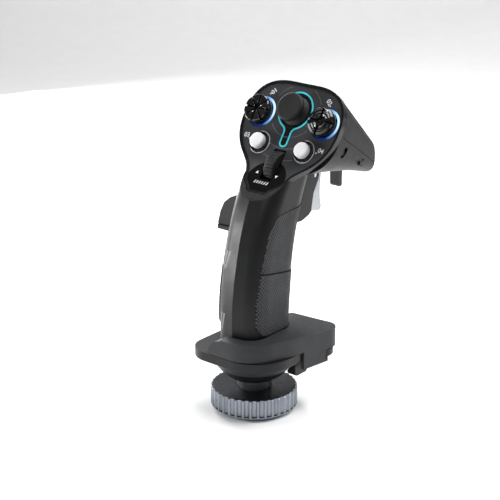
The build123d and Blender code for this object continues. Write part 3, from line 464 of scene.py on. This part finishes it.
def numeral(digits, x, u, size, turn, material):
    """Generic index number printed on the face."""
    curve = bpy.data.curves.new("digits " + digits, "FONT")
    curve.body = digits
    curve.size = size
    curve.offset = NUMERAL_BOLD * size
    curve.align_x = "CENTER"
    curve.align_y = "CENTER"
    holder = bpy.data.objects.new("digit", curve)
    bpy.context.scene.collection.objects.link(holder)
    bpy.context.view_layer.update()
    flat = bpy.data.meshes.new_from_object(holder.evaluated_get(bpy.context.evaluated_depsgraph_get()))
    bpy.data.objects.remove(holder)
    angle = math.radians(turn)
    verts = []
    for vert in flat.vertices:
        px = x + vert.co.x * math.cos(angle) - vert.co.y * math.sin(angle)
        pu = u + vert.co.x * math.sin(angle) + vert.co.y * math.cos(angle)
        verts.append(on_face(px, pu, face_height(pu, PANEL_H + PRINT_LIFT)))
    faces = [tuple(polygon.vertices) for polygon in flat.polygons]
    return mesh_object("print_number_" + digits, verts, faces, material, "grip")


# ---------------------------------------------------------------- printing on the face
def print_face():
    """Rings, arcs, index numbers and marks on the face."""
    for side_sign, side_name in ((-1, "left"), (1, "right")):
        ring = arc_points(side_sign * BUTTON_X, BUTTON_U, RING_PRINT_RADIUS, 0, 360, 4.0)[:-1]
        ribbon("print_button_ring_" + side_name, ring, RING_PRINT_WIDTH, ink_white, closed=True)
    ribbon("print_arc_inner", arc_points(0, 0, 17.6, -142, -38), ARC_WIDTH, ink_grey)
    ribbon("print_arc_middle", arc_points(0, 0, 25.3, -114, -66), ARC_WIDTH, ink_grey)
    ribbon("print_arc_outer_left", arc_points(0, 0, 33.0, -110, -98), ARC_WIDTH, ink_grey)
    ribbon("print_arc_outer_right", arc_points(0, 0, 33.0, -82, -70), ARC_WIDTH, ink_grey)
    for side_name, start, end in (("left", 118, 152), ("right", 28, 62)):
        ribbon("print_arc_top_" + side_name, arc_points(0, -2, 19.0, start, end), ARC_WIDTH, ink_grey)
    numeral("01", -21.2, 9.6, NUMERAL_SIZE, 52, ink_white)
    numeral("02", 21.8, 9.4, NUMERAL_SIZE, -40, ink_white)
    numeral("03", -29.0, -21.6, NUMERAL_SIZE, 6, ink_white)
    numeral("04", 29.0, -21.6, NUMERAL_SIZE, -6, ink_white)
    marks = [(-23.2, 7.6, 232), (23.6, 7.2, 320), (-26.3, -23.4, 180), (26.3, -23.4, 0)]
    outlines = []
    for x, u, turn in marks:
        corners = [math.radians(turn + step) for step in (0, 130, 230)]
        outlines.append([(x + 0.8 * math.cos(a), u + 0.8 * math.sin(a)) for a in corners])
    for x, turn in ((-8.4, 90), (6.6, 270)):
        corners = [math.radians(turn + step) for step in (0, 120, 240)]
        outlines.append([(x + 1.25 * math.cos(a), INSERT_MARK_U + 1.25 * math.sin(a)) for a in corners])
    polygon_print("print_marks", outlines, ink_white)
    bars = []
    for index in range(6):
        x = -6.6 + index * 1.9
        bars.append([(x, -51.2), (x + 0.6, -51.2), (x + 1.15, -49.2), (x + 0.55, -49.2)])
    polygon_print("print_bars", bars, ink_white)


print_face()


# ---------------------------------------------------------------- printing on the handle's left flank
shell_tree = BVHTree.FromObject(frame["nodes"]["handle_left_shell"], bpy.context.evaluated_depsgraph_get())
shell_place = frame["nodes"]["handle_left_shell"].matrix_world.copy()


def on_flank(x, z):
    """Point of the handle's rear surface straight ahead of a point behind it, just proud of it."""
    inverse = shell_place.inverted()
    start = inverse @ (Vector((x, FLANK_START_Y, z)) * MM)
    ahead = (inverse.to_3x3() @ Vector((0, 1, 0))).normalized()
    spot, normal = shell_tree.ray_cast(start, ahead)[:2]
    normal = (shell_place.to_3x3() @ normal).normalized()
    if normal.y > 0:
        normal.negate()
    return shell_place @ spot + normal * FLANK_LIFT * MM


def flank_bar(name, x, low_z, high_z, width, lean, material):
    """Slanted printed bar that follows the flank."""
    verts = []
    for row in range(BAR_ROWS + 1):
        share = row / BAR_ROWS
        z = low_z + (high_z - low_z) * share
        for side_x in (x + lean * share, x + lean * share + width):
            verts.append(on_flank(side_x, z))
    faces = [(2 * row, 2 * row + 1, 2 * row + 3, 2 * row + 2) for row in range(BAR_ROWS)]
    return mesh_object(name, verts, faces, material, "grip")


def print_flank():
    """Two pairs of slanted bars with a dim band between them."""
    for group, low_z in (("low", 55.0), ("high", 94.0)):
        for number, x in enumerate((-13.4, -10.8)):
            name = "print_bar_" + group + str(number + 1)
            flank_bar(name, x, low_z, low_z + BAR_HEIGHT, BAR_WIDTH, BAR_LEAN, ink_flank)
    flank_bar("print_band", -12.2, 69.0, 92.0, 2.6, 0.6, ink_dim)


print_flank()


# ---------------------------------------------------------------- hats, stick and wheel
def polar_solid(name, radii, angles, height, low, centre, material, body, node):
    """Solid cap over a grid of radii and angles: height(r, angle) gives its top."""
    x0, u0 = centre
    verts = [on_face(x0, u0, height(0, 0))]
    for r in radii:
        for a in angles:
            verts.append(on_face(x0 + r * math.cos(a), u0 + r * math.sin(a), height(r, a)))
    ring = len(angles)
    faces = [(0, 1 + i, 1 + (i + 1) % ring) for i in range(ring)]
    for level in range(len(radii) - 1):
        a, b = 1 + level * ring, 1 + (level + 1) * ring
        for i in range(ring):
            j = (i + 1) % ring
            faces.append((a + i, b + i, b + j, a + j))
    last = 1 + (len(radii) - 1) * ring
    foot = len(verts)
    outer = radii[-1]
    for drop_r, drop_h in low:
        for a in angles:
            r = outer * drop_r
            verts.append(on_face(x0 + r * math.cos(a), u0 + r * math.sin(a), drop_h))
    for level in range(len(low)):
        a = last if level == 0 else foot + (level - 1) * ring
        b = foot + level * ring
        for i in range(ring):
            j = (i + 1) % ring
            faces.append((a + i, b + i, b + j, a + j))
    verts.append(on_face(x0, u0, low[-1][1]))
    tail = foot + (len(low) - 1) * ring
    for i in range(ring):
        faces.append((len(verts) - 1, tail + (i + 1) % ring, tail + i))
    obj = mesh_object(name, verts, faces, material, body, smooth=True)
    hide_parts(*node)
    return obj


def smooth_by_angle(obj, degrees_limit):
    """Smooth shading except across sharp creases."""
    mesh = obj.data
    work = bmesh.new()
    work.from_mesh(mesh)
    for edge in work.edges:
        if len(edge.link_faces) == 2:
            edge.smooth = edge.calc_face_angle(0.0) < math.radians(degrees_limit)
    work.to_mesh(mesh)
    work.free()


def step(value, low, high):
    """Smooth ramp from 0 to 1."""
    t = min(1.0, max(0.0, (value - low) / (high - low)))
    return t * t * (3 - 2 * t)


def finned_top(r, a):
    """Eight blades that rise outwards, parted by narrow gaps, round a sunken middle."""
    sector = 2 * math.pi / 8
    offset = abs((a % sector) - sector / 2)
    from_gap = r * math.sin(sector / 2 - offset)
    blade = step(from_gap, 0.25, 0.6) * step(r, 1.3, 1.9)
    crest = HAT_TOP - 1.1 + 1.1 * (r / HAT_RADIUS) + 0.5 * (1 - offset / (sector / 2)) - 0.25
    rim = step(r, HAT_RADIUS - 0.7, HAT_RADIUS)
    return (HAT_TOP - 3.2) * (1 - blade) + crest * blade - 0.8 * rim * blade


def ridged_top(r, a):
    """Four quadrants with concentric ridges, parted by a cross, round a sunken middle."""
    sector = math.pi / 2
    offset = abs((a % sector) - sector / 2)
    from_gap = r * math.sin(sector / 2 - offset)
    plate = step(from_gap, 0.45, 0.85) * step(r, 2.3, 2.9)
    ridge = 0.35 * math.cos(2 * math.pi * (r - 4.2) / 1.9) if 3.2 < r < 8.2 else 0.0
    crown = HAT_TOP - 0.3 + 0.10 * (r - 5) + ridge
    rim = step(r, HAT_RADIUS - 0.9, HAT_RADIUS)
    return (HAT_TOP - 2.8) * (1 - plate) + crown * plate - 1.0 * rim * plate


def build_hats():
    """Both hats: the left with blades, the right with ridged quadrants."""
    angles = [2 * math.pi * i / 240 for i in range(240)]
    radii = [0.25 * i for i in range(1, 37)] + [HAT_RADIUS]
    low = [(1.0, HAT_TOP - 2.6), (0.98, HAT_LOW + 0.3), (0.93, HAT_LOW),
           (0.79, HAT_LOW - 0.3), (0.79, -1.0)]
    for name, sign, top in (("left", -1, finned_top), ("right", 1, ridged_top)):
        cap = polar_solid("hat_" + name, radii, angles, top, low, (sign * HAT_X, HAT_U),
                          MATERIALS["hat_black"], "hat_" + name, ("hat_" + name + "_cap",))
        smooth_by_angle(cap, 28)


def stick_top(r, _angle):
    """Shallow dish with a raised rim and a rounded edge, the same all round."""
    rim = STICK_RADIUS - STICK_EDGE
    dish = -0.35 * (1 - min(1.0, r / rim) ** 2)
    edge = max(0.0, r - rim)
    drop = STICK_EDGE - math.sqrt(max(0.0, STICK_EDGE ** 2 - edge ** 2))
    return STICK_TOP + dish - drop


def build_stick():
    """Disc on top of the mini-stick."""
    angles = [2 * math.pi * i / 96 for i in range(96)]
    rim = STICK_RADIUS - STICK_EDGE
    radii = [rim * i / 10 for i in range(1, 11)]
    radii += [rim + STICK_EDGE * math.sin(math.pi / 2 * i / 6) for i in range(1, 7)]
    low = [(1.0, STICK_LOW + 0.5), (0.97, STICK_LOW), (0.9, STICK_LOW - 0.1)]
    cap = polar_solid("stick_cap_disc", radii, angles, stick_top, low, (0, 0), MATERIALS["stick_black"],
                      "stick", ("stick_cap",))
    smooth_by_angle(cap, 50)


def build_wheel():
    """Scroll wheel with rounded ribs across its tread."""
    count = WHEEL_RIBS * 6
    centre_u, centre_h = WHEEL_U, WHEEL_H
    profile = [(-WHEEL_HALF_WIDTH, WHEEL_BORE, 0), (-WHEEL_HALF_WIDTH, WHEEL_RADIUS - 1.4, 0),
               (-WHEEL_HALF_WIDTH + 0.15, WHEEL_RADIUS - 0.75, 0.3),
               (-WHEEL_HALF_WIDTH + 0.7, WHEEL_RADIUS - 0.08, 1.0),
               (-WHEEL_HALF_WIDTH + 1.2, WHEEL_RADIUS, 1.0)]
    profile += [(-x, r, k) for x, r, k in reversed(profile)]
    verts = []
    for index in range(count):
        a = 2 * math.pi * index / count
        wave = 0.5 - 0.5 * math.cos(WHEEL_RIBS * a)
        for x, r, share in profile:
            radius = r - WHEEL_RIB_DEPTH * (1 - wave) * share
            verts.append(on_face(x, centre_u + radius * math.cos(a), centre_h + radius * math.sin(a)))
    faces = []
    width = len(profile)
    for index in range(count):
        nxt = (index + 1) % count
        for level in range(width - 1):
            a, b = index * width + level, nxt * width + level
            faces.append((a, b, b + 1, a + 1))
        faces.append((index * width + width - 1, nxt * width + width - 1, nxt * width, index * width))
    wheel = mesh_object("scroll_wheel_ribbed", verts, faces, MATERIALS["wheel_black"],
                        "scroll")
    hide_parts("scroll_wheel")
    smooth_by_angle(wheel, 40)


build_hats()
build_stick()
build_wheel()

# ---------------------------------------------------------------- edges of the moulded pieces
for node_name, width in (
    ("hand_rest", 0.6), ("base_flange", 0.5), ("face_bezel", 0.35), ("grip_pad_left_upper", 0.3),
    ("grip_pad_left_lower", 0.3), ("grip_pad_right_upper", 0.3), ("grip_pad_right_lower", 0.3),
    ("thumb_rest", 0.8), ("trigger", 0.5), ("trigger_housing", 0.6), ("front_lever", 0.5),
    ("head_upper_shell", 0.4), ("head_lower_shell", 0.4), ("rest_guide", 0.3), ("clamp_wheel", 0.3),
    ("locking_ring", 0.2), ("handle_left_shell", 0.15), ("handle_right_shell", 0.15),
):
    soften(frame["nodes"][node_name], width)


# ---------------------------------------------------------------- stage
def build_stage():
    """Paper sweep: a floor that curves up into a wall behind the object."""
    level = STAGE_LEVEL
    verts = [(-STAGE_SIZE, -STAGE_SIZE, level), (STAGE_SIZE, -STAGE_SIZE, level),
             (STAGE_SIZE, STAGE_BACK, level), (-STAGE_SIZE, STAGE_BACK, level)]
    faces = [(0, 1, 2, 3)]
    for i in range(1, STAGE_STEPS + 1):
        a = math.pi / 2 * i / STAGE_STEPS
        y = STAGE_BACK + STAGE_CURVE * math.sin(a)
        z = STAGE_CURVE * (1 - math.cos(a)) + level
        verts += [(STAGE_SIZE, y, z), (-STAGE_SIZE, y, z)]
        k = len(verts)
        previous = (k - 4, k - 3) if i > 1 else (2, 3)
        faces.append((previous[1], previous[0], k - 2, k - 1))
    k = len(verts)
    wall_y = STAGE_BACK + STAGE_CURVE
    verts += [(STAGE_SIZE, wall_y, STAGE_SIZE), (-STAGE_SIZE, wall_y, STAGE_SIZE)]
    faces.append((k - 1, k - 2, k, k + 1))
    mesh = bpy.data.meshes.new("sweep")
    mesh.from_pydata(verts, [], faces)
    for polygon in mesh.polygons:
        polygon.use_smooth = True
    floor = bpy.data.objects.new("sweep", mesh)
    bpy.context.scene.collection.objects.link(floor)
    floor.matrix_world = Matrix.Rotation(math.radians(CAMERA_AZIMUTH), 4, "Z")
    paper = moulded("studio paper", (0.86, 0.86, 0.86), 0.85, grain=400.0, relief=0.00001, variation=0.01)
    floor.data.materials.append(paper)


def area_light(name, place, target, width, height, watts, colour=(1, 1, 1)):
    lamp = bpy.data.lights.new(name, "AREA")
    lamp.shape = "RECTANGLE"
    lamp.size = width
    lamp.size_y = height
    lamp.energy = watts
    lamp.color = colour
    obj = bpy.data.objects.new(name, lamp)
    obj.location = place
    obj.rotation_mode = "QUATERNION"
    obj.rotation_quaternion = (Vector(target) - Vector(place)).to_track_quat("-Z", "Y")
    bpy.context.scene.collection.objects.link(obj)
    return obj


def build_camera():
    """Camera on a sphere round its target."""
    data = bpy.data.cameras.new("camera")
    data.lens = CAMERA_LENS
    data.sensor_width = SENSOR_WIDTH
    data.clip_start = 0.05
    data.clip_end = 20
    cam = bpy.data.objects.new("camera", data)
    azimuth, elevation = math.radians(CAMERA_AZIMUTH), math.radians(CAMERA_ELEVATION)
    back = Vector((math.sin(azimuth) * math.cos(elevation), -math.cos(azimuth) * math.cos(elevation),
                   math.sin(elevation)))
    cam.location = CAMERA_TARGET + back * CAMERA_DISTANCE
    cam.rotation_mode = "QUATERNION"
    cam.rotation_quaternion = (-back).to_track_quat("-Z", "Y")
    bpy.context.scene.collection.objects.link(cam)
    bpy.context.scene.camera = cam


def polar(azimuth, distance, height):
    """Place round the object: azimuth counts from the pilot's side towards the right."""
    a = math.radians(azimuth)
    return (distance * math.sin(a), -distance * math.cos(a), height)


def build_lights():
    """Soft studio light from above and both sides, with a strip for the left flank."""
    middle = (0, 0.02, 0.11)
    area_light("top", (0.10, 0.30, 1.05), middle, 0.9, 0.9, 16)
    area_light("left wall", polar(-112, 0.75, 0.30), (0, 0, 0.10), 0.34, 0.80, 9)
    area_light("right wall", polar(140, 0.85, 0.50), middle, 0.45, 0.80, 5)
    area_light("low strip", polar(-60, 0.70, 0.11), (0, 0, 0.09), 0.16, 0.20, 3.6)
    area_light("front fill", polar(8, 1.1, 0.95), middle, 0.35, 0.35, 3.0)
    world = bpy.data.worlds.new("studio")
    world.use_nodes = True
    world.node_tree.nodes["Background"].inputs["Color"].default_value = (1, 1, 1, 1)
    world.node_tree.nodes["Background"].inputs["Strength"].default_value = WORLD_LIGHT
    bpy.context.scene.world = world
    bpy.context.scene.view_settings.view_transform = "Standard"


build_stage()
build_lights()
build_camera()
